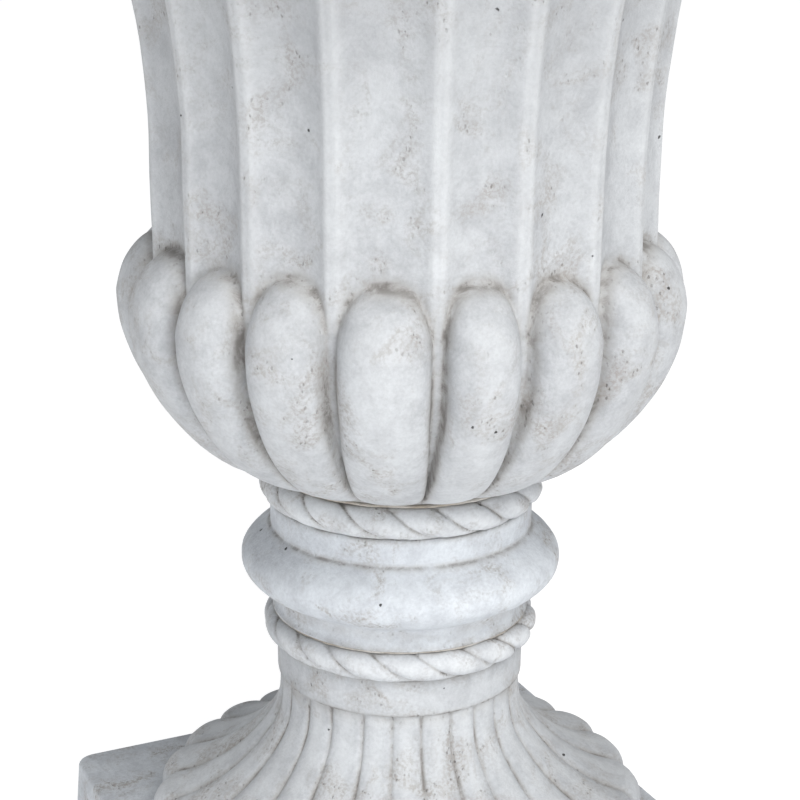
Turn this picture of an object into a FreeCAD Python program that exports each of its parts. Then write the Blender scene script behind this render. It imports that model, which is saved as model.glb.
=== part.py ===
import FreeCAD, Part
import math
import os

# Garden urn planter of light cast stone, built in sections that a hollow tie tube clamps together.
# Frame: +Z up, origin on the ground under the middle of the square plinth, millimetres.
# From the ground: rubber pads, plinth, reeded foot, rope ring, stem, rope ring, fluted bowl.
# A thin mortar bed lies in the joints, and a rubber plug closes the drain in the bowl's floor.

Vector = FreeCAD.Vector
UP = Vector(0, 0, 1)

# Heights of the stack
pad_height = 3.0
plinth_height = 50.0
bed_thickness = 1.5
reed_height = 106.5
foot_band_height = 23.0
lower_rope_height = 17.5
neck_height = 13.5
torus_height = 37.0
collar_height = 17.1
upper_rope_height = 18.9
bowl_height = 420.0

# Plinth and its rubber pads
plinth_side = 320.0
plinth_draft_angle = 3.7
plinth_corner_radius = 12.0
plinth_edge_round = 2.0
plinth_wall = 16.0
plinth_plate_thickness = 18.0
plinth_hollow_corner_radius = 44.0
plinth_boss_diameter = 84.0
plinth_boss_height = 6.0
pad_diameter = 24.0
pad_inset = 20.0

# Reeded foot
reed_count = 24
reed_phase = 9.0
foot_reach = 150.0
foot_end_height = 14.0
foot_cove_reach = 100.0
foot_cove_rise = 82.0
foot_cove_sweep = 70.0
foot_cove_steps = 4
foot_shoulder_steps = 2
reed_facets = 4
reed_depth_at_end = 11.5
reed_depth_at_band = 1.0
foot_band_radius = 72.6
foot_band_overhang = 1.0
foot_bed_inner_radius = 40.0
foot_bed_margin = 8.0

# Stem
neck_radius = 74.5
neck_foot_radius = 76.0
torus_radius = 93.5
collar_radius = 76.5
neck_facets = 2
torus_facets = 6

# Rope rings
rope_facets = 4
strand_count = 18
strand_tilt = 38.0
strand_groove_depth = 2.4
strand_groove_width = 6.0
lower_rope_radius = 81.0
lower_strand_phase = 0.0
upper_rope_radius = 83.0
upper_strand_phase = 7.0
spigot_radius = 58.0
spigot_clearance = 0.5
joint_bed_inner_radius = 30.0

# Bowl: gadrooned underside, fluted bell and rolled lip
bowl_base_radius = 76.0
bowl_base_height = 4.0
waist_radius = 141.0
belly_height = 105.0
waist_height = 187.0
flute_count = 18
flute_phase = 1.5
flute_depth = 6.0
flute_land = 4.0
flute_foot_rise = 7.0
flute_head_length = 26.0
flute_head_gap = 8.0
gadroon_reach = 160.3
gadroon_base_reach = 86.5
gadroon_head_height = 33.0
gadroon_head_sink = 7.0
gadroon_root = 3.0
gadroon_bury = 12.0
gadroon_back_share = 0.8
gadroon_fullness = 0.8
gadroon_gap = 3.0
gadroon_body_steps = 4
gadroon_head_steps = 3
gadroon_head_sweep = 84.0
gadroon_facets = 6
flute_head_steps = 2
flute_head_sweep = 75.0
flute_facets = 4
bell_facets = 3
underside_facets = 3
lip_facets = 4
cavity_facets = 4
rim_band_height = 14.0
rim_band_step = 4.0
lip_radius = 11.0
lip_reach = 202.0
lip_overhang = 18.7
lip_inner_round = 4.0
bowl_wall = 12.0
bowl_floor = 20.0

# Tie tube, clamp and drain
tie_tube_diameter = 21.3
tie_tube_bore = 16.0
tie_tube_stub = 4.0
tie_tube_clearance = 1.5
thread_clearance = 0.1
clamp_washer_diameter = 60.0
clamp_washer_thickness = 4.0
lock_nut_across_flats = 32.0
lock_nut_height = 9.0
gasket_thickness = 2.0
drain_flange_diameter = 56.0
drain_flange_thickness = 6.0
drain_flange_sink = 1.0
drain_flange_dish = 1.5
drain_hub_diameter = 30.0
drain_hub_depth = 8.0
drain_seat_depth = 5.0
drain_recess_clearance = 3.0
drain_hub_clearance = 0.5
plug_running_clearance = 0.05
plug_shank_length = 12.0
plug_cap_diameter = 26.0
plug_cap_height = 4.0
plug_grip_width = 14.0
plug_grip_thickness = 5.0
plug_grip_height = 12.0

# Levels of the joints, from the ground up
plinth_top_level = pad_height + plinth_height
foot_base_level = plinth_top_level + bed_thickness
foot_band_level = foot_base_level + reed_height
foot_top_level = foot_band_level + foot_band_height
lower_rope_top_level = foot_top_level + lower_rope_height
stem_base_level = lower_rope_top_level + bed_thickness
torus_base_level = stem_base_level + neck_height
collar_base_level = torus_base_level + torus_height
stem_top_level = collar_base_level + collar_height
upper_rope_top_level = stem_top_level + upper_rope_height
bowl_base_level = upper_rope_top_level + bed_thickness
belly_level = bowl_base_level + belly_height
waist_level = bowl_base_level + waist_height
rim_level = bowl_base_level + bowl_height

# Levels of the clamp and the drain
clamp_seat_level = plinth_top_level - plinth_plate_thickness - plinth_boss_height
lock_nut_top_level = clamp_seat_level - clamp_washer_thickness
lock_nut_base_level = lock_nut_top_level - lock_nut_height
floor_level = bowl_base_level + bowl_floor
drain_flange_top_level = floor_level - drain_flange_sink
drain_flange_base_level = drain_flange_top_level - drain_flange_thickness
gasket_base_level = drain_flange_base_level - gasket_thickness
tie_tube_top_level = drain_flange_top_level - drain_seat_depth
tie_tube_base_level = lock_nut_base_level - tie_tube_stub

# Heights of the bowl above its base, and the arc of its flare
bell_top_height = bowl_height - 2 * lip_radius - rim_band_height
flute_foot_height = belly_height + flute_foot_rise
flare_rise = bell_top_height - waist_height
flare_spread = lip_reach - lip_overhang - waist_radius
flare_radius = (flare_rise ** 2 + flare_spread ** 2) / (2 * flare_spread)

# Radii that several pieces share
tube_hole_radius = tie_tube_diameter / 2 + tie_tube_clearance
thread_radius = tie_tube_diameter / 2 + thread_clearance
hub_hole_radius = drain_hub_diameter / 2 + drain_hub_clearance
rope_bore_radius = spigot_radius + spigot_clearance
flute_pitch = 360.0 / flute_count
reed_pitch = 360.0 / reed_count


def point(radius, level, angle=0.0):
    turn = math.radians(angle)
    return Vector(radius * math.cos(turn), radius * math.sin(turn), level)


def line(start, end):
    return Part.LineSegment(start, end).toShape()


def arc(start, middle, end):
    return Part.Arc(start, middle, end).toShape()


def polyline(points):
    return [line(start, end) for start, end in zip(points, points[1:])]


def closed_wire(points):
    return Part.Wire(polyline(points + points[:1]))


def arc_points(start, middle, end, facets):
    return arc(start, middle, end).discretize(facets + 1)


def turned(outline):
    return Part.Face(outline).revolve(Vector(0, 0, 0), UP, 360)


def disc(radius, base, height, centre=Vector(0, 0, 0)):
    return Part.makeCylinder(radius, height, centre + UP * base)


def ring(inner_radius, outer_radius, base, height):
    return disc(outer_radius, base, height).cut(disc(inner_radius, base, height))


def arrayed(shape, count, phase):
    copies = []
    for index in range(count):
        copy = shape.copy()
        copy.rotate(Vector(0, 0, 0), UP, phase + index * 360.0 / count)
        copies.append(copy)
    return copies


def loft(wires):
    solid = True
    ruled = True
    return Part.makeLoft(wires, solid, ruled)


def rounded_square(side, corner_radius, level):
    half = side / 2
    inner = half - corner_radius
    diagonal = inner + corner_radius * math.sqrt(0.5)
    edges = []
    for quarter in range(4):
        turn = FreeCAD.Rotation(UP, 90 * quarter)
        side_start = turn.multVec(Vector(half, -inner, level))
        side_end = turn.multVec(Vector(half, inner, level))
        corner_middle = turn.multVec(Vector(diagonal, diagonal, level))
        corner_end = turn.multVec(Vector(inner, half, level))
        edges.append(line(side_start, side_end))
        edges.append(arc(side_end, corner_middle, corner_end))
    return Part.Wire(edges)


# Plinth: a drafted square slab with rounded corners, hollow below, with a boss round the tube hole.
def make_plinth():
    spread = 2 * plinth_height * math.tan(math.radians(plinth_draft_angle))
    foot_wire = rounded_square(plinth_side + spread, plinth_corner_radius, pad_height)
    top_wire = rounded_square(plinth_side, plinth_corner_radius, plinth_top_level)
    slab = loft([foot_wire, top_wire])
    top_edges = [edge for edge in slab.Edges if edge.BoundBox.ZMin > plinth_top_level - 0.01]
    slab = slab.makeFillet(plinth_edge_round, top_edges)
    hollow_side = plinth_side - 2 * plinth_wall
    hollow_top = plinth_top_level - plinth_plate_thickness
    hollow_wire = rounded_square(hollow_side, plinth_hollow_corner_radius, pad_height)
    hollow = Part.Face(hollow_wire).extrude(UP * (hollow_top - pad_height))
    boss = disc(plinth_boss_diameter / 2, clamp_seat_level, plinth_boss_height)
    body = slab.cut(hollow).fuse(boss)
    tube_hole = disc(tube_hole_radius, pad_height, plinth_height)
    return body.cut(tube_hole).removeSplitter()


def make_pads():
    reach = plinth_side / 2 - pad_inset
    corners = [(x, y) for x in (-reach, reach) for y in (-reach, reach)]
    pads = [disc(pad_diameter / 2, 0, pad_height, Vector(x, y, 0)) for x, y in corners]
    return Part.makeCompound(pads)


# Reeded foot: a trumpet of convex reeds whose rounded ends stand upright on the plinth.
def reed_section(crest_radius, level):
    root_radius = foot_band_radius - foot_band_overhang
    share = (crest_radius - root_radius) / (foot_reach - root_radius)
    depth = reed_depth_at_band + (reed_depth_at_end - reed_depth_at_band) * share
    outline = []
    for index in range(reed_count):
        middle = reed_phase + index * reed_pitch
        start = point(crest_radius - depth, level, middle - reed_pitch / 2)
        crest = point(crest_radius, level, middle)
        end = point(crest_radius - depth, level, middle + reed_pitch / 2)
        outline += arc_points(start, crest, end, reed_facets)[:-1]
    return closed_wire(outline)


def foot_cove_point(angle):
    turn = math.radians(angle)
    root_radius = foot_band_radius - foot_band_overhang
    radius = root_radius + foot_cove_reach * (1 - math.cos(turn))
    level = foot_band_level - foot_cove_rise * math.sin(turn)
    return radius, level


def make_foot():
    end_level = foot_base_level + foot_end_height
    upright = Part.Face(reed_section(foot_reach, foot_base_level)).extrude(UP * foot_end_height)
    cove_radius, cove_level = foot_cove_point(foot_cove_sweep)
    sections = [reed_section(foot_reach, end_level)]
    for step in range(1, foot_shoulder_steps + 1):
        turn = math.radians(90 * step / (foot_shoulder_steps + 1))
        radius = cove_radius + (foot_reach - cove_radius) * math.cos(turn)
        level = end_level + (cove_level - end_level) * math.sin(turn)
        sections.append(reed_section(radius, level))
    for step in range(foot_cove_steps + 1):
        angle = foot_cove_sweep * (1 - step / foot_cove_steps)
        sections.append(reed_section(*foot_cove_point(angle)))
    trumpet = loft(sections)
    band = disc(foot_band_radius, foot_band_level, foot_band_height)
    spigot = disc(spigot_radius, foot_top_level, lower_rope_height)
    body = trumpet.fuse([upright, band, spigot])
    tube_hole = disc(tube_hole_radius, foot_base_level, lower_rope_top_level - foot_base_level)
    return body.cut(tube_hole)


# Rope ring: a half-round ring with slanting grooves between its strands.
def make_rope_ring(rope_radius, height, base_level, phase):
    half = height / 2
    core_radius = rope_radius - half
    middle_level = base_level + half
    outline = [point(rope_bore_radius, base_level + height), point(rope_bore_radius, base_level)]
    outline += arc_points(point(core_radius, base_level), point(rope_radius, middle_level),
                          point(core_radius, base_level + height), rope_facets)
    body = turned(closed_wire(outline))
    tilt = math.radians(strand_tilt)
    along = Vector(0, math.cos(tilt), math.sin(tilt))
    across = Vector(0, -math.sin(tilt), math.cos(tilt))
    centre = point(core_radius, middle_level)
    inner = half - strand_groove_depth
    outer = half / math.cos(tilt) + strand_groove_depth
    flank = strand_groove_width / 2 * (outer - inner) / strand_groove_depth
    corners = [centre - across * inner,
               centre - across * outer + along * flank,
               centre - across * outer - along * flank]
    sections = []
    for step in range(rope_facets + 1):
        section = closed_wire(corners)
        section.rotate(centre, along, -180 * step / rope_facets)
        sections.append(section)
    return body.cut(arrayed(loft(sections), strand_count, phase))


# Stem: neck, torus and collar, with a spigot that centres the upper rope ring.
def make_stem():
    neck_foot = point(neck_foot_radius, stem_base_level)
    neck_middle = point(neck_radius, stem_base_level + neck_height / 2)
    torus_foot = point(neck_foot_radius, torus_base_level)
    torus_middle = point(torus_radius, torus_base_level + torus_height / 2)
    torus_top = point(collar_radius, collar_base_level)
    outline = arc_points(neck_foot, neck_middle, torus_foot, neck_facets)
    outline += arc_points(torus_foot, torus_middle, torus_top, torus_facets)[1:]
    outline += [point(collar_radius, stem_top_level),
                point(spigot_radius, stem_top_level),
                point(spigot_radius, upper_rope_top_level),
                point(tube_hole_radius, upper_rope_top_level),
                point(tube_hole_radius, stem_base_level)]
    return turned(closed_wire(outline))


# Bowl: radii of its core, of the gadroons' crests and of the bell at a height above its base.
def underside_radius_at(height, base_radius, belly_radius):
    rise = belly_height - bowl_base_height
    spread = belly_radius - base_radius
    curve = (rise ** 2 + spread ** 2) / (2 * spread)
    drop = max(belly_height - height, 0)
    return belly_radius - curve + math.sqrt(curve ** 2 - drop ** 2)


def core_radius_at(height):
    return underside_radius_at(height, bowl_base_radius, waist_radius)


def bell_radius_at(height):
    climb = max(height - waist_height, 0)
    return waist_radius + flare_radius - math.sqrt(flare_radius ** 2 - climb ** 2)


def bowl_point(radius, height, angle=0.0):
    return point(radius, bowl_base_level + height, angle)


# Gadroon: a full, thumb-like lobe that tapers down to the bowl's base and ends in a domed head.
def gadroon_section(core_radius, reach_radius, half_width, height):
    base_radius = core_radius - gadroon_root
    back = bowl_point(core_radius - gadroon_bury, height)
    back_side = Vector(0, half_width * gadroon_back_share, 0)
    outline = [back + back_side, back - back_side]
    for facet in range(gadroon_facets + 1):
        turn = math.pi * facet / gadroon_facets
        side = -math.cos(turn)
        across = half_width * math.copysign(abs(side) ** gadroon_fullness, side)
        rise = (reach_radius - base_radius) * abs(math.sin(turn)) ** gadroon_fullness
        outline.append(bowl_point(base_radius + rise, height) + Vector(0, across, 0))
    return closed_wire(outline)


def gadroon_half_width(core_radius):
    return core_radius * math.tan(math.radians(flute_pitch / 2)) - gadroon_gap / 2


def make_gadroon():
    sections = []
    for step in range(gadroon_body_steps + 1):
        share = math.sin(math.radians(90 * step / gadroon_body_steps))
        height = bowl_base_height + (belly_height - bowl_base_height) * share
        reach = underside_radius_at(height, gadroon_base_reach, gadroon_reach)
        core_radius = core_radius_at(height)
        sections.append(gadroon_section(core_radius, reach, gadroon_half_width(core_radius), height))
    for step in range(1, gadroon_head_steps + 1):
        turn = math.radians(gadroon_head_sweep * step / gadroon_head_steps)
        height = belly_height + gadroon_head_height * math.sin(turn)
        core_radius = waist_radius - gadroon_head_sink * (1 - math.cos(turn))
        reach = core_radius + (gadroon_reach - waist_radius) * math.cos(turn)
        half_width = gadroon_half_width(waist_radius) * math.cos(turn)
        sections.append(gadroon_section(core_radius, reach, half_width, height))
    return loft(sections)


def flute_section(height, shrink):
    arris_radius = bell_radius_at(height)
    land_angle = math.degrees(flute_land / 2 / arris_radius)
    half_angle = (flute_pitch / 2 - land_angle) * shrink
    clear_radius = arris_radius + flute_depth
    bottom_radius = arris_radius * math.cos(math.radians(half_angle)) - flute_depth * shrink
    left = bowl_point(arris_radius, height, -half_angle)
    right = bowl_point(arris_radius, height, half_angle)
    outline = arc_points(left, bowl_point(bottom_radius, height), right, flute_facets)
    outline += [bowl_point(clear_radius, height, half_angle), bowl_point(clear_radius, height, -half_angle)]
    return closed_wire(outline)


def make_flute_cutter():
    head_end = bell_top_height - flute_head_gap
    head_start = head_end - flute_head_length
    flare_middle = (waist_height + head_start) / 2
    sections = [flute_section(height, 1) for height in
                (flute_foot_height, waist_height, flare_middle, head_start)]
    for step in range(1, flute_head_steps + 1):
        turn = math.radians(flute_head_sweep * step / flute_head_steps)
        sections.append(flute_section(head_start + flute_head_length * math.sin(turn), math.cos(turn)))
    return loft(sections)


def make_bowl():
    bell_top_radius = bell_radius_at(bell_top_height)
    band_radius = bell_top_radius + rim_band_step
    lip_centre_radius = lip_reach - lip_radius
    under_middle = (bowl_base_height + belly_height) / 2
    flare_middle = (waist_height + bell_top_height) / 2
    outline = arc_points(bowl_point(bowl_base_radius, bowl_base_height),
                         bowl_point(core_radius_at(under_middle), under_middle),
                         bowl_point(waist_radius, belly_height), underside_facets)
    outline += arc_points(bowl_point(waist_radius, waist_height),
                          bowl_point(bell_radius_at(flare_middle), flare_middle),
                          bowl_point(bell_top_radius, bell_top_height), bell_facets)
    band_top_height = bell_top_height + rim_band_height
    outline += [bowl_point(band_radius, bell_top_height), bowl_point(band_radius, band_top_height)]
    outline += arc_points(bowl_point(lip_centre_radius, band_top_height),
                          bowl_point(lip_reach, bowl_height - lip_radius),
                          bowl_point(lip_centre_radius, bowl_height), lip_facets)
    outline += [bowl_point(0, bowl_height), bowl_point(0, 0), bowl_point(bowl_base_radius, 0)]
    core = turned(closed_wire(outline)).cut(arrayed(make_flute_cutter(), flute_count, flute_phase))
    lobed = core.fuse(arrayed(make_gadroon(), flute_count, flute_phase))
    recess = disc(drain_flange_diameter / 2 + drain_recess_clearance, gasket_base_level, bowl_floor)
    hub_hole = disc(hub_hole_radius, bowl_base_level, bowl_floor)
    return lobed.cut([make_cavity(), recess, hub_hole])


# Planting cavity: a round-bottomed well that opens into the same flare as the bell.
def make_cavity():
    half_pitch = math.radians(flute_pitch / 2)
    well_radius = waist_radius * math.cos(half_pitch) - flute_depth - bowl_wall
    corner_radius = belly_height - bowl_floor
    inner_flare = flare_radius + waist_radius - well_radius
    lip_start = bowl_height - lip_inner_round
    flare_middle = (waist_height + lip_start) / 2

    def well_radius_at(height):
        return well_radius + inner_flare - math.sqrt(inner_flare ** 2 - (height - waist_height) ** 2)

    corner_start = well_radius - corner_radius
    corner_middle = corner_radius * math.sqrt(0.5)
    outline = arc_points(bowl_point(corner_start, bowl_floor),
                         bowl_point(corner_start + corner_middle, belly_height - corner_middle),
                         bowl_point(well_radius, belly_height), cavity_facets)
    outline += arc_points(bowl_point(well_radius, waist_height),
                          bowl_point(well_radius_at(flare_middle), flare_middle),
                          bowl_point(well_radius_at(lip_start), lip_start), bell_facets)
    outline += [bowl_point(well_radius_at(lip_start) + lip_inner_round, bowl_height),
                bowl_point(0, bowl_height),
                bowl_point(0, bowl_floor)]
    return turned(closed_wire(outline))


# Tie tube, with a washer and lock nut under the plinth and a drain flange in the bowl's floor.
def make_tie_tube():
    length = tie_tube_top_level - tie_tube_base_level
    return ring(tie_tube_bore / 2, tie_tube_diameter / 2, tie_tube_base_level, length)


def make_clamp_washer():
    return ring(thread_radius, clamp_washer_diameter / 2, lock_nut_top_level, clamp_washer_thickness)


def make_lock_nut():
    corner_radius = lock_nut_across_flats / 2 / math.cos(math.radians(30))
    corners = [point(corner_radius, lock_nut_base_level, 60 * index) for index in range(6)]
    blank = Part.Face(closed_wire(corners)).extrude(UP * lock_nut_height)
    return blank.cut(disc(thread_radius, lock_nut_base_level, lock_nut_height))


def make_drain_gasket():
    return ring(hub_hole_radius, drain_flange_diameter / 2, gasket_base_level, gasket_thickness)


def make_drain_flange():
    hub_base_level = drain_flange_base_level - drain_hub_depth
    flange_radius = drain_flange_diameter / 2
    outline = [point(tie_tube_bore / 2, tie_tube_top_level),
               point(tie_tube_bore / 2, drain_flange_top_level),
               point(plug_cap_diameter / 2, drain_flange_top_level),
               point(flange_radius, drain_flange_top_level - drain_flange_dish),
               point(flange_radius, drain_flange_base_level),
               point(drain_hub_diameter / 2, drain_flange_base_level),
               point(drain_hub_diameter / 2, hub_base_level),
               point(thread_radius, hub_base_level),
               point(thread_radius, tie_tube_top_level)]
    return turned(closed_wire(outline))


# Drain plug: a rubber stopper with a cap and a grip, lifted straight out of the drain.
def make_drain_plug():
    shank_radius = tie_tube_bore / 2 - plug_running_clearance
    shank_level = drain_flange_top_level - plug_shank_length
    shank = disc(shank_radius, shank_level, plug_shank_length)
    cap = disc(plug_cap_diameter / 2, drain_flange_top_level, plug_cap_height)
    grip_level = drain_flange_top_level + plug_cap_height
    corner = Vector(-plug_grip_width / 2, -plug_grip_thickness / 2, grip_level)
    grip = Part.makeBox(plug_grip_width, plug_grip_thickness, plug_grip_height, corner)
    return shank.fuse([cap, grip])


def joint_bed(outer_radius, base_level):
    return ring(joint_bed_inner_radius, outer_radius, base_level, bed_thickness)


lower_core_radius = lower_rope_radius - lower_rope_height / 2
upper_core_radius = upper_rope_radius - upper_rope_height / 2
foot_bed_radius = foot_reach - reed_depth_at_end - foot_bed_margin

parts = {
    "foot_pads": make_pads(),
    "plinth_casting": make_plinth(),
    "foot_bed": ring(foot_bed_inner_radius, foot_bed_radius, plinth_top_level, bed_thickness),
    "foot_casting": make_foot(),
    "lower_rope_ring": make_rope_ring(lower_rope_radius, lower_rope_height, foot_top_level,
                                      lower_strand_phase),
    "stem_bed": joint_bed(lower_core_radius, lower_rope_top_level),
    "stem_casting": make_stem(),
    "upper_rope_ring": make_rope_ring(upper_rope_radius, upper_rope_height, stem_top_level,
                                      upper_strand_phase),
    "bowl_bed": joint_bed(upper_core_radius, upper_rope_top_level),
    "bowl_casting": make_bowl(),
    "tie_tube": make_tie_tube(),
    "clamp_washer": make_clamp_washer(),
    "lock_nut": make_lock_nut(),
    "drain_gasket": make_drain_gasket(),
    "drain_flange": make_drain_flange(),
    "drain_plug": make_drain_plug(),
}

os.makedirs("parts", exist_ok=True)
for name, shape in parts.items():
    print(name, "solids", len(shape.Solids), "valid", shape.isValid(), "litres", round(shape.Volume / 1e6, 4))
    shape.exportStep("parts/" + name + ".step")
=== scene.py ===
import math

import bmesh
import bpy
from mathutils import Matrix, Vector, noise


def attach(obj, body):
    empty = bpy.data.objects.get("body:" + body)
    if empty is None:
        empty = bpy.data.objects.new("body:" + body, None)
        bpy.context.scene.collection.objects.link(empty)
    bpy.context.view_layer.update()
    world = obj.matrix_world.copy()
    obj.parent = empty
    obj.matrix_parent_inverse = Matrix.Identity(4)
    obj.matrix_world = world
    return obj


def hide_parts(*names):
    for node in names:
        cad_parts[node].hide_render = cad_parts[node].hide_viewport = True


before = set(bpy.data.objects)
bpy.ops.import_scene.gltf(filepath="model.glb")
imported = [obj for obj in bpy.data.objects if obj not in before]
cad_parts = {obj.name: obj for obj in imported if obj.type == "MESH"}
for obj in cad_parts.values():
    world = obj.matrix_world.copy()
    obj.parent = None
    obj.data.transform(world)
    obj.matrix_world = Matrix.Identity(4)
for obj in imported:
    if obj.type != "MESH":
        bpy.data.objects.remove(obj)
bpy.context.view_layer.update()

# The studio: the urn stands on a plain white floor under soft light, with the main lamp high on the
# right of the camera, weaker ones low in front and on the left, and a pale surround. The camera
# stands a metre away, a little below the rim, and looks down at the stem.
scene = bpy.context.scene
scene.view_settings.view_transform = "Standard"

heading = 0.4434
pitch = 0.3160215
roll = 0.0085
camera_place = (-0.449145, -0.943332, 0.66822)
right = Vector((math.cos(heading), -math.sin(heading), 0))
forward = Vector((math.sin(heading) * math.cos(pitch), math.cos(heading) * math.cos(pitch),
                  -math.sin(pitch)))
up = right.cross(forward)
camera_axes = Matrix((right * math.cos(roll) + up * math.sin(roll),
                      up * math.cos(roll) - right * math.sin(roll),
                      -forward)).transposed()
camera_data = bpy.data.cameras.new("camera")
camera_data.sensor_fit = "HORIZONTAL"
camera_data.sensor_width = 36
camera_data.lens = 85.905
camera_data.clip_end = 200
camera = bpy.data.objects.new("camera", camera_data)
scene.collection.objects.link(camera)
camera.matrix_world = Matrix.Translation(camera_place) @ camera_axes.to_4x4()
scene.camera = camera


def lamp(name, place, target, size, power, tint, fan=180):
    light = bpy.data.lights.new(name, "AREA")
    light.shape = "DISK"
    light.size = size
    light.energy = power
    light.color = tint
    light.spread = math.radians(fan)
    holder = bpy.data.objects.new(name, light)
    scene.collection.objects.link(holder)
    holder.location = place
    holder.rotation_mode = "QUATERNION"
    holder.rotation_quaternion = (Vector(target) - Vector(place)).to_track_quat("-Z", "Y")


flat_forward = Vector((math.sin(heading), math.cos(heading), 0))
middle = Vector((0, 0, 0.4))
lamp("key_lamp", middle + right * 0.6 - flat_forward * 1.15 + Vector((0, 0, 1.45)), middle,
     size=1.1, power=27, tint=(1.0, 0.99, 0.97))
lamp("low_lamp", right * 0.35 - flat_forward * 1.5 + Vector((0, 0, 0.2)), Vector((0, 0, 0.17)),
     size=0.7, power=0.85, tint=(0.97, 0.985, 1.0), fan=44)
lamp("side_lamp", middle - right * 1.8 - flat_forward * 1.2 + Vector((0, 0, 0.15)),
     middle - Vector((0, 0, 0.15)), size=1.4, power=6, tint=(0.94, 0.97, 1.0))

surround = bpy.data.worlds.new("surround")
surround.use_nodes = True
surround.node_tree.nodes["Background"].inputs["Color"].default_value = (0.97, 0.985, 1.0, 1)
surround.node_tree.nodes["Background"].inputs["Strength"].default_value = 0.42
scene.world = surround

floor_shape = bmesh.new()
bmesh.ops.create_grid(floor_shape, x_segments=1, y_segments=1, size=40)
floor_mesh = bpy.data.meshes.new("floor")
floor_shape.to_mesh(floor_mesh)
floor_shape.free()
floor_finish = bpy.data.materials.new("white_floor")
floor_finish.use_nodes = True
floor_shader = floor_finish.node_tree.nodes["Principled BSDF"]
floor_shader.inputs["Base Color"].default_value = (0.32, 0.32, 0.32, 1)
floor_shader.inputs["Roughness"].default_value = 0.9
floor_shader.inputs["Emission Color"].default_value = (1, 1, 1, 1)
floor_shader.inputs["Emission Strength"].default_value = 0.86
floor_mesh.materials.append(floor_finish)
floor = bpy.data.objects.new("floor", floor_mesh)
scene.collection.objects.link(floor)


# Rubber pads: four black moulded discs under the plinth's corners that keep it off the paving.
# The same dusty rubber makes the gasket under the drain flange and the drain plug.
class Shade:
    """A socket in a material's nodes. Arithmetic on it adds Math nodes."""

    def __init__(self, tree, socket=None):
        self.tree = tree
        self.socket = socket

    def node(self, kind, settings, inputs, output=0):
        made = self.tree.nodes.new(kind)
        for name, value in settings.items():
            setattr(made, name, value)
        for name, value in inputs.items():
            if isinstance(value, Shade):
                self.tree.links.new(value.socket, made.inputs[name])
            else:
                made.inputs[name].default_value = value
        return Shade(self.tree, made.outputs[output])

    def maths(self, operation, *values, clamp=False):
        settings = {"operation": operation, "use_clamp": clamp}
        return self.node("ShaderNodeMath", settings, dict(enumerate(values)))

    def __add__(self, other):
        return self.maths("ADD", self, other)

    def __radd__(self, other):
        return self.maths("ADD", other, self)

    def __sub__(self, other):
        return self.maths("SUBTRACT", self, other)

    def __rsub__(self, other):
        return self.maths("SUBTRACT", other, self)

    def __mul__(self, other):
        return self.maths("MULTIPLY", self, other)

    def __rmul__(self, other):
        return self.maths("MULTIPLY", other, self)

    def clamped(self):
        return self.maths("ADD", self, 0.0, clamp=True)

    def rising(self, low, high):
        """0 below low, 1 above high, smooth between. With low above high it falls."""
        limits = {"Value": self, "From Min": low, "From Max": high, "To Min": 0.0, "To Max": 1.0}
        return self.node("ShaderNodeMapRange", {"interpolation_type": "SMOOTHSTEP"}, limits)

    def clouds(self, scale, detail, roughness, lean=0.0):
        return self.node("ShaderNodeTexNoise", {}, {"Vector": self, "Scale": scale, "Detail": detail,
                                                    "Roughness": roughness, "Distortion": lean})

    def cell(self, scale, reading):
        """The distance to the nearest of scattered points, or a random number for each point."""
        spread = {"Vector": self, "Scale": scale, "Randomness": 1.0}
        read = self.node("ShaderNodeTexVoronoi", {}, spread, reading)
        return read.node("ShaderNodeSeparateColor", {}, {0: read}, 0) if reading == "Color" else read

    def shaken(self, scale, reach):
        """The same place, pushed about by up to this reach in metres."""
        noise_inputs = {"Vector": self, "Scale": scale, "Detail": 3.0}
        push = self.node("ShaderNodeTexNoise", {}, noise_inputs, "Color")
        return self.node("ShaderNodeVectorMath", {"operation": "MULTIPLY_ADD"},
                         {0: push, 1: (reach,) * 3, 2: self})

    def stretched(self, x, y, z):
        return self.node("ShaderNodeMapping", {}, {"Vector": self, "Scale": (x, y, z)})

    def blended(self, first, second):
        """Colour first where this is 0 and second where it is 1."""
        first = first if isinstance(first, Shade) else (*first, 1)
        second = second if isinstance(second, Shade) else (*second, 1)
        return self.node("ShaderNodeMix", {"data_type": "RGBA"}, {0: self, 6: first, 7: second}, 2)


class Finish:
    """A material with one Principled shader, and the coordinates its pattern reads."""

    def __init__(self, name):
        self.material = bpy.data.materials.new(name)
        self.material.use_nodes = True
        self.shader = self.material.node_tree.nodes["Principled BSDF"]
        self.start = Shade(self.material.node_tree)
        self.place = self.start.node("ShaderNodeTexCoord", {}, {}, "Object")

    def mark(self, name):
        return self.start.node("ShaderNodeAttribute", {"attribute_name": name}, {}, "Fac")

    def wear(self, inputs):
        for name, value in inputs.items():
            if isinstance(value, Shade):
                self.material.node_tree.links.new(value.socket, self.shader.inputs[name])
            else:
                self.shader.inputs[name].default_value = value
        return self.material

    def bumped(self, height, depth, strength=1.0):
        return self.start.node("ShaderNodeBump", {},
                               {"Height": height, "Distance": depth, "Strength": strength})


def dress(node, material):
    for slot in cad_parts[node].material_slots:
        slot.material = material


def moulded_rubber():
    finish = Finish("moulded_rubber")
    dust = finish.place.clouds(90, 6, 0.65).rising(0.42, 0.75)
    grain = finish.place.clouds(1400, 3, 0.6)
    return finish.wear({"Base Color": (dust * 0.55).blended((0.018, 0.018, 0.019), (0.11, 0.105, 0.1)),
                        "Roughness": 0.62 + dust * 0.25,
                        "Normal": finish.bumped(grain, 0.00015)})


rubber = moulded_rubber()
dress("foot_pads", rubber)
dress("drain_gasket", rubber)


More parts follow.
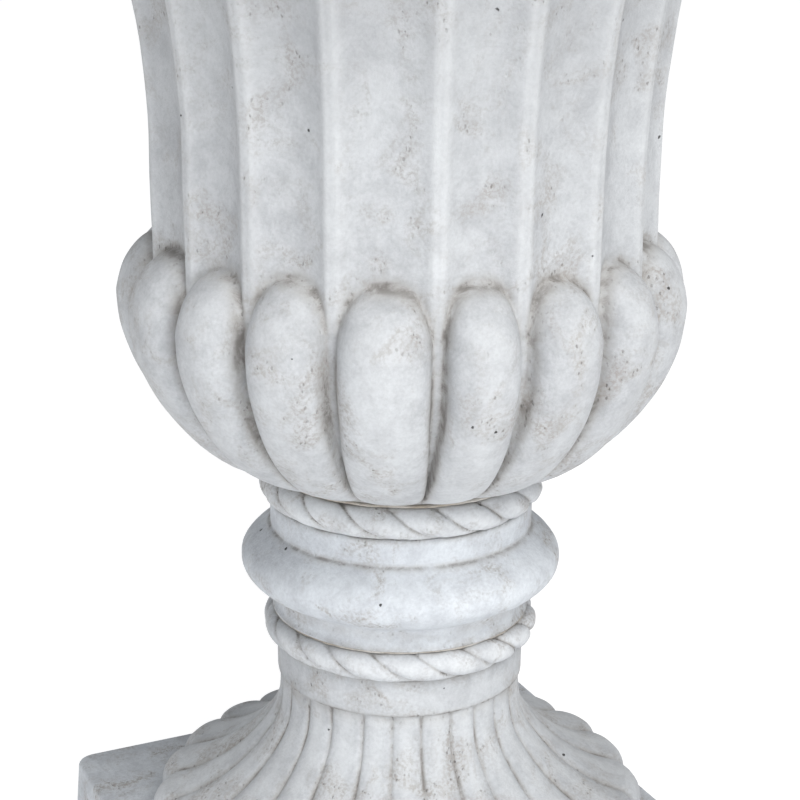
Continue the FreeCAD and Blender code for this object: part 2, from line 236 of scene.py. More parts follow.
# Cast stone, the finish of every casting: a light grey mix of fine sand and white cement with
# pinholes left by air in the mould, painted dark as the shade inside them, a warm grey wash and
# painted shade that stay in the hollows, near black in the deepest, and bare edges. The stone can
# also be painted darker towards the top, as shade under a rim.
def cast_stone(name, streaks=0.5, soil_and_shade=1.0, cool=0.0, tone=1.0, rim_shade=0.0):
    finish = Finish(name)
    hollow = finish.mark("hollow")
    edge = finish.mark("edge")
    patches = finish.place.clouds(9, 4, 0.55, 0.4)
    mottle = finish.place.clouds(64, 8, 0.7, 0.3)
    grain = finish.place.clouds(520, 5, 0.66)
    drag = finish.place.stretched(1, 1, 0.1).clouds(230, 7, 0.75, 0.2)
    smudge = finish.place.clouds(31, 5, 0.62, 0.8).rising(0.47, 0.68)
    smear = finish.place.clouds(48, 6, 0.7, 0.5)
    shaken = finish.place.shaken(340, 0.0022)
    # Pinholes and pocks: painted shade inside the small holes, near black in the pinholes; the pocks also
    # gather dirt.
    pit_size = shaken.cell(66, "Color")
    pits_and_shade = (shaken.cell(66, "Distance") - pit_size.rising(0.42, 0.95) * 0.075).rising(0.012, -0.014)
    pocks_and_shade = shaken.stretched(1, 1, 0.55).cell(310, "Distance").rising(0.24, 0.10)
    pocks_and_shade = pocks_and_shade * (smudge * 0.8 + hollow * 0.5).clamped()
    scuffs = (drag.rising(0.50, 0.74) * smudge.maths("MAXIMUM", smudge, 0.25) * streaks).clamped()
    # Painted shade with dirt in the hollows: a warm grey wash, and near-black patches in the deepest.
    soiled_and_shaded = (hollow * (0.2 + smear.rising(0.3, 0.62) * 1.2) * soil_and_shade).clamped()
    crust_and_shade = (hollow.rising(0.5, 1.0) * smear.rising(0.47, 0.64) * soil_and_shade).clamped()
    pale = (tone * (0.655 - 0.015 * cool), tone * 0.675, tone * (0.695 + 0.015 * cool))
    grey = (tone * (0.415 - 0.01 * cool), tone * 0.425, tone * (0.445 + 0.015 * cool))
    body = patches.rising(0.3, 0.7) * 0.34 + mottle.rising(0.34, 0.72) * 0.52 + grain.rising(0.3, 0.72) * 0.3
    body = body.blended(pale, grey)
    body = (smudge * (0.25 + 0.75 * grain.rising(0.44, 0.60))).blended(body, (0.345, 0.328, 0.315))
    # Painted shade under the rim: the stone grows darker from 0.4 m up to 0.7 m, by the share given.
    height = finish.place.node("ShaderNodeSeparateXYZ", {}, {0: finish.place}, 2)
    body = (height.rising(0.40, 0.70) * rim_shade).blended(body, (0.330, 0.340, 0.355))
    for share, tint in ((scuffs * 0.6, (0.345, 0.345, 0.345)), ((edge * 0.4).clamped(), (0.72, 0.735, 0.745)),
                        (soiled_and_shaded * 0.62, (0.330, 0.312, 0.290)), (crust_and_shade * 0.72, (0.120, 0.108, 0.098)),
                        (pocks_and_shade * 0.9, (0.185, 0.175, 0.165)), (pits_and_shade * 0.92, (0.035, 0.033, 0.030))):
        body = share.blended(body, tint)
    relief = mottle * 0.30 + grain * 0.42 + drag * 0.16 * streaks - pits_and_shade * 1.4 - pocks_and_shade * 0.55 - crust_and_shade * 0.3
    return finish.wear({"Base Color": body,
                        "Roughness": 0.68 + soiled_and_shaded * 0.2 + smudge * 0.08,
                        "Specular IOR Level": 0.34,
                        "Normal": finish.bumped(relief, 0.0010, 0.85)})


# Plinth: a hollow square slab with sloping sides and softly rounded corners. A boss under its
# middle carries the clamp, and the foot stands on its flat top.
tube_hole = 12.15
pad_height = 3.0
plinth_top = 53.0
plinth_half_low = 163.2
plinth_half_high = 160.0
plinth_corner = 12.0
hollow_half = 144.0
hollow_corner = 44.0
hollow_ceiling = 35.0
boss_radius = 42.0
boss_face = 29.0


def run(start, end, count):
    """Points from start up to end, with the end left out."""
    return [(start[0] + (end[0] - start[0]) * k / count, start[1] + (end[1] - start[1]) * k / count)
            for k in range(count)]


def sweep(centre, radius, start, end, count):
    """Points round a centre from one angle to another in degrees, with the end left out."""
    turns = [math.radians(start + (end - start) * k / count) for k in range(count)]
    return [(centre[0] + radius * math.cos(turn), centre[1] + radius * math.sin(turn)) for turn in turns]


def finished(shape, name, body, slot, material, *nodes):
    """Turns a shape in millimetres into a piece in metres that rides on a body and stands for CAD nodes."""
    bmesh.ops.remove_doubles(shape, verts=shape.verts, dist=0.001)
    bmesh.ops.recalc_face_normals(shape, faces=shape.faces)
    bmesh.ops.scale(shape, vec=(0.001, 0.001, 0.001), verts=shape.verts)
    mesh = bpy.data.meshes.new(name)
    shape.to_mesh(mesh)
    shape.free()
    mesh.shade_smooth()
    mesh.materials.append(material)
    piece = bpy.data.objects.new(name, mesh)
    scene.collection.objects.link(piece)
    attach(piece, body)
    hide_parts(*nodes)
    return piece


def slab(shape, half_low, half_high, low, high, corner, steps):
    """A square block with rounded upright corners."""
    block = bmesh.ops.create_cube(shape, size=2)["verts"]
    for vert in block:
        top = vert.co.z > 0
        half = half_high if top else half_low
        vert.co = Vector((vert.co.x * half, vert.co.y * half, high if top else low))
    uprights = [e for e in {e for v in block for e in v.link_edges}
                if abs(e.verts[0].co.z - e.verts[1].co.z) > 1]
    bmesh.ops.bevel(shape, geom=uprights, offset=corner, offset_type="OFFSET", segments=steps,
                    profile=0.5, affect="EDGES", material=-1)


def flat_ring(shape, level):
    return [e for e in shape.edges if e.is_boundary and all(abs(v.co.z - level) < 0.01 for v in e.verts)]


def next_ring(shape, ring, place):
    """Extrudes a ring of open edges, puts its new corners where place says, and returns the new ring."""
    grown = bmesh.ops.extrude_edge_only(shape, edges=ring)["geom"]
    corners = [part for part in grown if isinstance(part, bmesh.types.BMVert)]
    corners.sort(key=lambda corner: math.atan2(corner.co.y, corner.co.x))
    for index, corner in enumerate(corners):
        corner.co = place(corner.co, index / len(corners) - 0.5)
    return [part for part in grown if isinstance(part, bmesh.types.BMEdge) and part.is_boundary]


def round_at(radius, level):
    return lambda old, turn: Vector((radius * math.cos(2 * math.pi * turn),
                                     radius * math.sin(2 * math.pi * turn), level))


def hollow_edge(old, turn):
    """The hollow's rounded corner that faces this point of the plinth's own rounded corner."""
    side = Vector((math.copysign(1, old.x), math.copysign(1, old.y)))
    across = (old.xy - side * (plinth_half_low - plinth_corner)) / plinth_corner
    return (side * (hollow_half - hollow_corner) + across * hollow_corner).to_3d() + Vector((0, 0, pad_height))


def level_to(level):
    return lambda old, turn: Vector((old.x, old.y, level))


plinth_shape = bmesh.new()
slab(plinth_shape, plinth_half_low, plinth_half_high, pad_height, plinth_top, plinth_corner, 8)
top_rim = [e for e in plinth_shape.edges if all(v.co.z > plinth_top - 0.1 for v in e.verts)]
bmesh.ops.bevel(plinth_shape, geom=top_rim, offset=2.2, offset_type="OFFSET", segments=4,
                profile=0.5, affect="EDGES", material=-1)
under = [f for f in plinth_shape.faces if all(v.co.z < pad_height + 0.01 for v in f.verts)]
bmesh.ops.delete(plinth_shape, geom=under, context="FACES")
ring = next_ring(plinth_shape, flat_ring(plinth_shape, pad_height), hollow_edge)
for place in (level_to(hollow_ceiling), round_at(boss_radius, hollow_ceiling), level_to(boss_face),
              round_at(tube_hole, boss_face), level_to(plinth_top)):
    ring = next_ring(plinth_shape, ring, place)
flat_tops = [f for f in plinth_shape.faces if all(abs(v.co.z - plinth_top) < 0.01 for v in f.verts)]
lid = max(flat_tops, key=lambda f: f.calc_area())
lid_ring = lid.edges[:]
bmesh.ops.delete(plinth_shape, geom=[lid], context="FACES_ONLY")
next_ring(plinth_shape, lid_ring, round_at(tube_hole, plinth_top))
plinth_stone = cast_stone("plinth_stone", streaks=0.25, soil_and_shade=0.8, cool=0.8)
plinth = finished(plinth_shape, "plinth_stone", "urn", "cast_stone", plinth_stone, "plinth_casting")
plinth.data.set_sharp_from_angle(angle=math.radians(35))


# Foot: a trumpet of twenty-four convex reeds, cast in one with the plain band above it. The reeds
# run out to upright rounded ends that stand on the plinth, and hand finishing left them uneven.
def turned(outline, sectors, steps):
    """A closed outline of (radius, level) points turned round the urn's axis, sector by sector."""
    shape = bmesh.new()
    verts = [shape.verts.new((radius, 0, level)) for radius, level in outline]
    edges = [shape.edges.new(pair) for pair in zip(verts, verts[1:] + verts[:1])]
    bmesh.ops.spin(shape, geom=verts + edges, cent=(0, 0, 0), axis=(0, 0, 1), angle=2 * math.pi / sectors,
                   steps=steps)
    sector = shape.verts[:] + shape.edges[:] + shape.faces[:]
    for count in range(1, sectors):
        copy = bmesh.ops.duplicate(shape, geom=sector)["geom"]
        corners = [part for part in copy if isinstance(part, bmesh.types.BMVert)]
        turn = Matrix.Rotation(2 * math.pi * count / sectors, 3, "Z")
        bmesh.ops.rotate(shape, cent=(0, 0, 0), matrix=turn, verts=corners)
    bmesh.ops.remove_doubles(shape, verts=shape.verts, dist=0.002)
    return shape


def polar(point):
    """Distance from the urn's axis, and the angle round it in degrees."""
    return math.hypot(point.x, point.y), math.degrees(math.atan2(point.y, point.x))


def move_out(vert, old, new):
    """Moves a corner from its old distance from the axis to a new one."""
    vert.co.x *= new / old
    vert.co.y *= new / old


def wear_layers(shape):
    """What the stone's material reads: the hollows, darkened with dirt and painted shade, and where an edge is
    rubbed bare.
    """
    return shape.verts.layers.float.new("hollow"), shape.verts.layers.float.new("edge")


def drifted(angle, phase, drifts):
    """The nominal angle that a hand-set pattern has at this angle, with one drift per groove."""
    pitch_angle = 360 / len(drifts)
    place = ((angle - phase) / pitch_angle) % len(drifts)
    index = int(place)
    share = place - index
    ease = share * share * (3 - 2 * share)
    drift = drifts[index] + (drifts[(index + 1) % len(drifts)] - drifts[index]) * ease
    return angle - drift


def ripple(point, size, seed):
    """Smooth unevenness between -1 and 1 of about this size in millimetres."""
    return noise.noise(Vector((point.x + seed * 91.7, point.y - seed * 37.3, point.z + seed * 53.1)) / size)


def near(distance, width):
    return math.exp(-(distance / width) ** 2)


reed_pitch = 15
reed_base = 54.5
reed_reach = 150.0
reed_end_centre = (137.4, 68.5)
reed_end_size = (12.6, 15.45)
cove_centre = (171.6, 161.0)
cove_size = (100.0, 82.0)
cove_neck = 71.6
spigot_clear = 59
reed_first_groove = -118.46
reed_drifts = [-0.1, -1.7, -2.1, -4.4, -5.6, -4.6, -2.4, -0.8, 0.3, -0.4, 0.6, -0.7,
               0.2, 0.8, -0.5, 0.4, -0.6, 0.3, 0.7, -0.4, -0.7, 0.4, -0.3, 1.2]


def ellipse(centre, size, degrees):
    """Points at these angles on an ellipse with these half widths."""
    return [(centre[0] + size[0] * math.cos(math.radians(t)), centre[1] + size[1] * math.sin(math.radians(t)))
            for t in degrees]


foot_outline = run((tube_hole, reed_base), (138, reed_base), 3)
foot_outline += run((reed_reach, reed_base), (reed_reach, 68.5), 6)
foot_outline += ellipse(reed_end_centre, reed_end_size, range(0, 90, 10))
foot_outline += ellipse(cove_centre, (-cove_size[0], -cove_size[1]), [*range(70, 6, -4), 7, 4, 2, 0.6])
foot_outline += [(71.7, 161.0)] + sweep((71.8, 162.2), 1.2, -90, 0, 3) + run((73.0, 163), (73.0, 182), 8)
foot_outline += sweep((71.4, 182.6), 1.4, 0, 90, 3) + [(58, 184), (58, 201.5), (tube_hole, 201.5)]
foot_shape = turned(foot_outline, 24, 28)
foot_hollow, foot_edge = wear_layers(foot_shape)
for vert in foot_shape.verts:
    level = vert.co.z
    radius, angle = polar(vert.co)
    if radius < spigot_clear:
        continue
    if level < 160.9:
        share = (radius - cove_neck) / (reed_reach - cove_neck)
        nominal = drifted(angle, reed_first_groove, reed_drifts)
        place = ((nominal - reed_first_groove) / reed_pitch) % 1
        side = abs(2 * place - 1)
        power = 3.4 - 1.2 * share
        deep = 1 - math.sqrt(max(0.0, 1 - side ** power))
        depth = 2.2 + 9.8 * share
        uneven = 0.5 * ripple(vert.co, 26, 3) + 0.25 * ripple(vert.co, 9, 4)
        new = radius - depth * deep + uneven * (0.4 + share) - 2.0 * near(level - 135, 16)
        half_width = radius * math.radians(reed_pitch / 2)
        reach = 1.2 + 1.9 * share
        # Dirt and painted shade in the grooves between the reeds, at the top of the cove and where the reeds
        # meet the plinth.
        vert[foot_hollow] = min(1.0, 0.95 * near((1 - side) * half_width, reach)
                                + 0.55 * near(level - 161, 5) + 0.5 * near(level - reed_base, 4))
        vert[foot_edge] = (1 - deep) * 0.5 * near(side, 0.45)
        if level < 55 and radius < 149:
            continue
    else:
        new = radius + 0.35 * ripple(vert.co, 22, 5)
        # Dirt and painted shade at the band's lower and upper joints.
        vert[foot_hollow] = min(1.0, 0.9 * near(level - 161.4, 1.3) + 0.8 * near(level - 184, 2.0))
        vert[foot_edge] = 0.3 * near(level - 172, 6)
    move_out(vert, radius, new)
foot_stone = cast_stone("foot_stone", streaks=0.7, soil_and_shade=0.9, cool=0.15, tone=0.85)
finished(foot_shape, "foot_stone", "urn", "cast_stone", foot_stone, "foot_casting")


# Rope rings: half-round rings whose slanting strands were cut with a gouge, slipped over the
# spigots of the foot and the stem. The grooves are deepest at their lower ends.
rope_bore = 58.5


def rope_ring(name, reach, base, height, phase, drifts, seed, node):
    half = height / 2
    core = reach - half
    middle_level = base + half
    outline = run((rope_bore, base + height), (rope_bore, base), 1) + run((rope_bore, base), (core, base), 3)
    outline += sweep((core, middle_level), half, -90, 90, 26)
    outline += run((core, base + height), (rope_bore, base + height), 3)
    shape = turned(outline, 18, 40)
    hollow, edge = wear_layers(shape)
    for vert in shape.verts:
        radius, angle = polar(vert.co)
        if radius < core - 0.01:
            continue
        out = radius - core
        rise = vert.co.z - middle_level
        lean = math.degrees(math.atan2(rise, max(out, 1e-6)))
        slant = 0.105 * lean - 0.0045 * max(0.0, -lean - 35) ** 2 * 0.9
        nominal = drifted(angle + slant, phase, drifts)
        place = ((nominal - phase) / (360 / len(drifts))) % 1
        side = abs(2 * place - 1)
        deep = 1 - math.sqrt(max(0.0, 1 - side ** 2.5))
        depth = 3.5 * (0.75 + 0.35 * near(lean + 35, 45)) * near(max(0.0, abs(lean) - 60), 30)
        plump = 0.55 * (place - 0.5)
        uneven = 0.45 * ripple(vert.co, 12, seed) + 0.18 * ripple(vert.co, 4, seed + 1)
        scale = (half + min(-depth * deep + plump + uneven, 0.0)) / half
        vert.co.z = middle_level + rise * scale
        move_out(vert, radius, core + out * scale)
        gap = (1 - side) * math.radians(180 / len(drifts)) * reach
        # Dirt and painted shade in the grooves between the strands and where the ring meets the castings above
        # and below.
        vert[hollow] = min(1.0, near(gap, 1.4) * (0.85 + 0.25 * near(lean + 40, 40))
                           + 0.75 * near(abs(lean) - 82, 16))
        vert[edge] = 0.6 * near(side, 0.5) * near(lean - 10, 40)
    return finished(shape, name, "urn", "cast_stone", rope_stone, node)


rope_stone = cast_stone("rope_stone", streaks=0.3, soil_and_shade=1.0)
lower_drifts = [0.4, -0.6, 1.1, 0.3, -0.9, 0.8, -0.3, 0.7, -0.5,
                0.2, 0.9, -0.7, 0.5, -0.4, 1.0, -0.2, -0.8, 0.6]
upper_drifts = [-0.5, 0.8, 0.2, -1.0, 0.7, 0.1, -0.6, 0.9, -0.3,
                0.5, -0.8, 0.4, 0.6, -0.2, -0.9, 0.3, 1.0, -0.4]
rope_ring("lower_rope", 81.0, 184.0, 17.5, 0.0, lower_drifts, 7, "lower_rope_ring")
rope_ring("upper_rope", 83.0, 270.6, 18.9, 7.0, upper_drifts, 17, "upper_rope_ring")


# Stem: a neck, a full torus and a plain collar turned in one, smoother and bluer than the rest
# because the form's face was polished there. Dirt and painted shade darken the stone under the
# collar and round the neck.
stem_marks = [(75.6, 203.0), (74.1, 206.0), (73.6, 210.0), (74.2, 213.5), (76.6, 216.6), (81.0, 219.2),
              (86.8, 222.6), (91.4, 227.2), (93.4, 232.6), (92.9, 238.0), (89.6, 243.2), (84.8, 247.6),
              (80.2, 251.2), (77.6, 253.7)]
torus_reach = 93.5


def through(marks, cuts):
    """Points on a smooth line through the marks, with the last mark left out."""
    points = []
    for k in range(len(marks) - 1):
        before, start, end, after = (Vector(marks[max(0, min(len(marks) - 1, k + j))]) for j in (-1, 0, 1, 2))
        for step in range(cuts):
            t = step / cuts
            mixed = 0.5 * (2 * start + (end - before) * t + (2 * before - 5 * start + 4 * end - after) * t ** 2
                           + (3 * start - before - 3 * end + after) * t ** 3)
            points.append((mixed.x, mixed.y))
    return points


stem_outline = through(stem_marks, 3) + [(77.2, 253.9), (76.4, 254.4)] + run((76.3, 255.2), (76.5, 269.2), 8)
stem_outline += [(76.3, 270.1), (75.6, 270.6), (58, 270.6), (58, 289.5), (tube_hole, 289.5), (tube_hole, 203.0)]
stem_shape = turned(stem_outline, 18, 20)
stem_hollow, stem_edge = wear_layers(stem_shape)
for vert in stem_shape.verts:
    radius = polar(vert.co)[0]
    if radius < spigot_clear:
        continue
    level = vert.co.z
    new = radius + 0.35 * ripple(vert.co, 30, 21) + 0.12 * ripple(vert.co, 9, 22)
    move_out(vert, radius, min(new, torus_reach))
    # Dirt and painted shade in the crease at the collar's foot, at the top and bottom joints, and round the
    # neck under the torus.
    vert[stem_hollow] = min(1.0, 0.9 * near(level - 254.2, 1.5) + 0.8 * near(level - 270.6, 2.2)
                            + 0.45 * near(level - 212.5, 5.5) + 0.7 * near(level - 203, 2.5))
    vert[stem_edge] = 0.15
stem_stone = cast_stone("stem_stone", streaks=0.15, soil_and_shade=0.8, cool=0.9, tone=1.04)
finished(stem_shape, "stem_stone", "urn", "cast_stone", stem_stone, "stem_casting")


# Bowl: one casting, with a fluted bell over eighteen fat gadroons and a rolled lip. The arrises
# between the flutes run on down between the gadroons as narrow strips, and each groove was
# cleaned out by hand, so no two lobes are quite alike.
bowl_base = 291.0
belly = 396.0
waist = 478.0
bell_top = 675.0
belly_reach = 141
belly_arc = 110.97
flare_arc = 480
crest_reach = 160.3
crest_arc = 106
flute_pitch = 20
well_radius = 120.9
placeholder_radius = 100
arris_drifts = [1.6, -0.3, -1.1, -2.9, -0.7, 0.6, -0.8, 0.4, 0.9,
                -0.5, -0.9, 0.7, 0.3, -0.6, 0.9, 2.3, 0.7, -0.1]
arris_first = -109.76
head_lifts = [1.0, -1.5, 0.5, 1.2, -0.8, 0.6, -1.0, 0.9, -0.4,
              1.1, -0.7, 0.3, -1.2, 0.8, 0.2, -0.9, 0.7, -0.3]


def core_radius(level):
    """The belly's own radius, under the gadroons."""
    drop = max(belly - level, 0.0)
    return belly_reach - belly_arc + math.sqrt(max(0.0, belly_arc ** 2 - drop ** 2))


def arris_radius(level):
    """Radius of the bell's arrises, which flare out above the waist."""
    climb = max(level - waist, 0.0)
    return belly_reach + flare_arc - math.sqrt(flare_arc ** 2 - climb ** 2)


def crest_radius(level):
    """Radius of the gadroons' crests, a little slack below their middle."""
    drop = max(belly - level, 0.0)
    arc = math.sqrt(max(0.0, crest_arc ** 2 - drop ** 2))
    return crest_reach - crest_arc + arc - 2.0 * near(level - 332, 28)


def bell_radius(level, offset):
    """Radius of the fluted bell at an angle from a flute's middle, and how near its arris is."""
    arris = arris_radius(level)
    land = math.degrees(2.0 / arris)
    start, end = 637.0, 667.0
    shrink = 1.0
    if level > start:
        shrink = math.sqrt(max(0.0, 1 - ((level - start) / (end - start)) ** 2))
    half = (flute_pitch / 2 - land) * shrink
    to_land = math.radians(abs(offset) - half) * arris
    if half < 0.05 or abs(offset) >= half:
        return arris, to_land
    chord = arris * math.cos(math.radians(half)) / math.cos(math.radians(offset))
    share = math.sin(math.radians(offset)) / math.sin(math.radians(half))
    eased = 1 - near(to_land, 3.0)
    return chord - 6.0 * shrink * (1 - share * share) * eased, to_land


def lobe(level, offset, lift):
    """Radius of a gadroon at an angle from its middle, and the distance to its outline, inside negative."""
    strip = 3.0 if level > 360 else 3.0 * max(0.0, (level - 300) / 60)
    half_width = math.radians(flute_pitch / 2) * core_radius(level) - strip
    across = abs(offset) * math.radians(1) * core_radius(level) / max(half_width, 1)
    climb = max(level - belly, 0.0) / (33.0 + lift)
    spread = (across ** 2.6 + climb ** 2.6) ** (1 / 2.6)
    outline = (spread - 1) * (half_width if climb < 0.01 else 28)
    if spread >= 1:
        return 0.0, outline
    climbed = min(1.0, max(0.0, (level - bowl_base) / (belly - bowl_base)))
    relief = 20.5 * (0.34 + 0.66 * climbed ** 0.8)
    base = crest_radius(min(level, belly)) - relief - 9.0 * climb
    return base + relief * (1 - spread ** 2.5) ** 0.5 + 9.0 * climb * (1 - spread) ** 0.5 * 0.4, outline


def bowl_skin(level, angle):
    """Radius of the bowl's outside, with its shares of hollow and of bare edge."""
    nominal = drifted(angle, arris_first, arris_drifts)
    turn = (nominal - arris_first) / flute_pitch
    index = int(math.floor(turn)) % len(head_lifts)
    offset = (turn % 1 - 0.5) * flute_pitch
    strip = core_radius(level) + (0.0 if level > 360 else -3.5 * (360 - level) / 60)
    if level > 399:
        wall, to_land = bell_radius(level, offset)
    else:
        wall, to_land = strip, math.radians(abs(offset) - 9.2) * strip
    gadroon, outline = lobe(level, offset, head_lifts[index])
    if level > 435:
        gadroon, outline = 0.0, 30.0
    skin = max(gadroon, wall)
    fillet = 2.2
    if gadroon > 0:
        join = max(0.0, 1 - abs(gadroon - wall) / fillet)
        skin += join * join * fillet * 0.25
    # Dirt and painted shade round the gadroons' outlines, under the lip's overhang at the top of the flutes,
    # and at the base.
    hollow = 0.95 * near(outline, 3.2 if level > 400 else 1.9)
    hollow += 0.35 * near(level - 668, 10) * near(max(0.0, -to_land), 12)
    hollow += 0.8 * near(level - bowl_base, 4)
    edge = 0.0
    if level > 405:
        edge = near(to_land + 0.5, 3.4) * 0.55
    edge = max(edge, 0.35 * near(outline + 22, 9) if level < 430 else 0)
    return skin, min(1.0, hollow), edge


bowl_outline = [(15.5, 302), (15.5, bowl_base)] + run((40, bowl_base), (74.6, bowl_base), 2)
bowl_outline += sweep((74.6, 292.4), 1.4, -90, 0, 3) + [(76.0, 293.6)]
skin_levels = [295 + 101 * math.sin(math.radians(90 * k / 34)) ** 1.15 for k in range(35)]
skin_levels += [belly + 1.25 * k for k in range(1, 32)]
skin_levels += [436.5 + 199.0 * k / 20 for k in range(20)]
skin_levels += [635.5 + 2.6 * k for k in range(14)] + [672.4, 674.2]
bowl_outline += [(placeholder_radius, level) for level in skin_levels]
bowl_outline += [(183.6, bell_top), (186.6, bell_top), (187.2, 675.6)] + run((187.3, 677), (187.3, 688), 2)
bowl_outline += [(187.3, 688.6)] + sweep((191, 700), 11, -105, 90, 18)
bowl_outline += run((191, 711), (180, 711), 2) + sweep((180.4, 707), 4, 90, 180, 4)
bowl_outline += [(well_radius + 500 - math.sqrt(500.1 ** 2 - (level - waist) ** 2), level)
                 for level in (700, 670, 640, 610, 575, 540, 510)]
bowl_outline += [(well_radius, waist), (well_radius, 437)] + sweep((35.9, belly), 85, 0, -90, 14)
bowl_outline += [(35.9, 311), (31, 311), (31, 302)]
bowl_shape = turned(bowl_outline, 18, 32)
bowl_hollow, bowl_edge = wear_layers(bowl_shape)
for vert in bowl_shape.verts:
    level = vert.co.z
    radius, angle = polar(vert.co)
    if abs(radius - placeholder_radius) < 0.01 and 294 < level < bell_top:
        turn = (angle - arris_first) / flute_pitch
        share = turn % 1 - 0.5
        crowded = share + 0.085 * math.sin(2 * math.pi * share)
        nominal = arris_first + (math.floor(turn) + 0.5 + crowded) * flute_pitch
        actual = nominal
        for _ in range(3):
            actual = nominal + (actual - drifted(actual, arris_first, arris_drifts))
        skin, hollow, edge = bowl_skin(level, actual)
        direction = Vector((math.cos(math.radians(actual)), math.sin(math.radians(actual)), 0))
        place = direction * skin + Vector((0, 0, level))
        uneven = 0.6 * ripple(place, 38, 31) + 0.25 * ripple(place, 12, 32)
        vert.co = direction * (skin + uneven) + Vector((0, 0, level))
        vert[bowl_hollow] = hollow
        vert[bowl_edge] = edge
    elif radius > placeholder_radius and level > 674:
        # Dirt and painted shade in the crease where the lip starts and under its roll.
        vert[bowl_hollow] = 0.8 * near(level - 675.5, 2) + 0.8 * near(level - 689, 2.5)
        vert[bowl_edge] = 0.5 * near(level - 711, 6)
    elif level < 330:
        # Dirt and painted shade over the underside and the floor inside the base.
        vert[bowl_hollow] = 0.7
# The bowl's stone is painted darker towards the rim, as the shade under the lip.
bowl_stone = cast_stone("bowl_stone", streaks=1.0, soil_and_shade=1.0, tone=0.87, rim_shade=0.7)
finished(bowl_shape, "bowl_stone", "urn", "cast_stone", bowl_stone, "bowl_casting")


# Mortar beds: the thin joints between the castings, with sandy mortar squeezed out and wiped off
# unevenly. The one under the bowl shows as a broken brownish line.
def mortar():
    finish = Finish("joint_mortar")
    sand = finish.place.clouds(420, 5, 0.7)
    stain = finish.place.clouds(36, 5, 0.65)
    tint = stain.rising(0.35, 0.65).blended((0.34, 0.30, 0.25), (0.52, 0.50, 0.47))
    tint = (sand.rising(0.5, 0.8) * 0.5).blended(tint, (0.17, 0.15, 0.13))
    return finish.wear({"Base Color": tint, "Roughness": 0.94, "Normal": finish.bumped(sand, 0.0007)})


bed_thickness = 1.5


def mortar_bed(name, inner, outer, base, seed, spread, node):
    top = base + bed_thickness
    outline = run((inner, top), (inner, base), 1) + run((inner, base), (outer, base), 2)
    outline += sweep((outer, base + bed_thickness / 2), bed_thickness / 2, -90, 90, 6)
    outline += run((outer, top), (inner, top), 2)
    shape = turned(outline, 18, 20)
    for vert in shape.verts:
        radius = polar(vert.co)[0]
        if radius > outer - 0.1:
            squeezed = spread * (0.5 + 0.5 * ripple(vert.co, 14, seed))
            move_out(vert, radius, radius + squeezed + 0.5 * ripple(vert.co, 4, seed + 1))
    return finished(shape, name, "urn", "mortar", joint_mortar, node)


joint_mortar = mortar()
mortar_bed("foot_mortar", 40, 130, 53, 41, 4.0, "foot_bed")
mortar_bed("stem_mortar", 30, 73.5, 201.5, 43, 2.0, "stem_bed")
mortar_bed("bowl_mortar", 30, 74.6, 289.5, 45, 3.0, "bowl_bed")


# Clamp: a galvanised steel tie tube runs up through the castings. Under the plinth a hexagon lock
# nut and a broad washer pull the whole stack together.
def galvanised():
    finish = Finish("galvanised_steel")
    bright = finish.place.cell(160.0, "Color")
    bloom = finish.place.clouds(60, 6, 0.65).rising(0.45, 0.7)
    rust = finish.place.clouds(130, 7, 0.72).rising(0.62, 0.74)
    tint = bright.blended((0.40, 0.42, 0.43), (0.58, 0.60, 0.61))
    tint = (bloom * 0.6).blended(tint, (0.66, 0.67, 0.66))
    tint = (rust * 0.8).blended(tint, (0.23, 0.10, 0.045))
    return finish.wear({"Base Color": tint, "Metallic": 0.9 - bloom * 0.5 - rust * 0.4,
                        "Roughness": 0.42 + bloom * 0.25 + rust * 0.3,
                        "Normal": finish.bumped(bloom + rust, 0.00012)})


steel = galvanised()
for node in ("tie_tube", "clamp_washer", "lock_nut"):
    dress(node, steel)


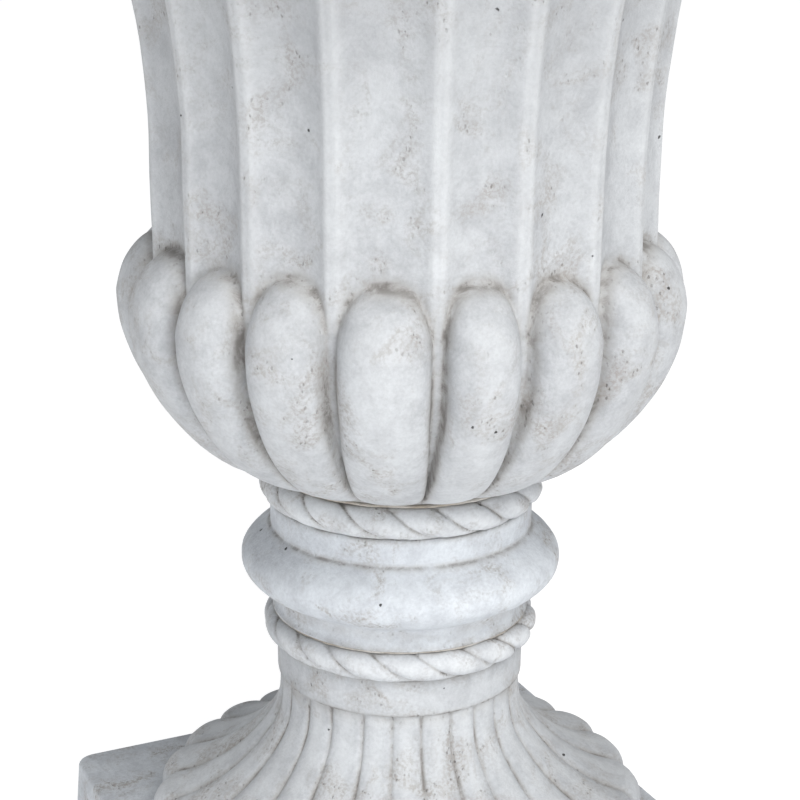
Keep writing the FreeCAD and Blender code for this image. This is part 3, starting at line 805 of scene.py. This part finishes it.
# Drain: a cast brass flange screwed on to the tube's top end, set in the bowl's floor over a
# rubber gasket, and dulled by wet soil.
def dull_brass():
    finish = Finish("dull_brass")
    tarnish = finish.place.clouds(70, 6, 0.66).rising(0.38, 0.66)
    green = finish.place.clouds(150, 6, 0.7).rising(0.58, 0.72)
    tint = tarnish.blended((0.56, 0.41, 0.18), (0.24, 0.17, 0.085))
    tint = (green * 0.6).blended(tint, (0.16, 0.27, 0.20))
    return finish.wear({"Base Color": tint, "Metallic": 0.95 - green * 0.6, "Roughness": 0.34 + tarnish * 0.3,
                        "Normal": finish.bumped(tarnish, 0.0001)})


dress("drain_flange", dull_brass())


# Drain plug: a moulded rubber stopper that lifts straight out by the flat grip on its cap. Its
# edges are rounded by the mould, and the shank has two soft sealing beads.
def stopper_turned(outline):
    shape = bmesh.new()
    verts = [shape.verts.new((radius, 0, level)) for radius, level in outline]
    edges = [shape.edges.new(pair) for pair in zip(verts, verts[1:])]
    bmesh.ops.spin(shape, geom=verts + edges, cent=(0, 0, 0), axis=(0, 0, 1), angle=2 * math.pi, steps=64,
                   use_merge=True)
    return shape


plug_outline = [(0, 298.0), (6.6, 298.0)] + sweep((6.6, 299.2), 1.2, -90, 0, 4)
for bead in (302.0, 306.4):
    plug_outline += [(7.6, bead - 1.0), (7.9, bead), (7.6, bead + 1.0)]
plug_outline += [(7.7, 309.6), (8.4, 310.0), (12.2, 310.0)] + sweep((12.2, 310.7), 0.7, -90, 0, 4)
plug_outline += sweep((11.4, 312.4), 1.6, 0, 90, 6) + [(11.4, 314.0), (0, 314.0)]
plug_shape = stopper_turned(plug_outline)
grip = bmesh.ops.create_cube(plug_shape, size=1)["verts"]
bmesh.ops.scale(plug_shape, vec=(14.0, 5.0, 13.0), verts=grip)
bmesh.ops.translate(plug_shape, vec=(0, 0, 319.5), verts=grip)
grip_foot = 313.1
grip_edges = list({e for v in grip for e in v.link_edges if any(end.co.z > grip_foot for end in e.verts)})
bmesh.ops.bevel(plug_shape, geom=grip_edges, offset=1.6, offset_type="OFFSET", segments=4,
                profile=0.5, affect="EDGES", material=-1)
finished(plug_shape, "rubber_plug", "plug", "rubber", rubber, "drain_plug")
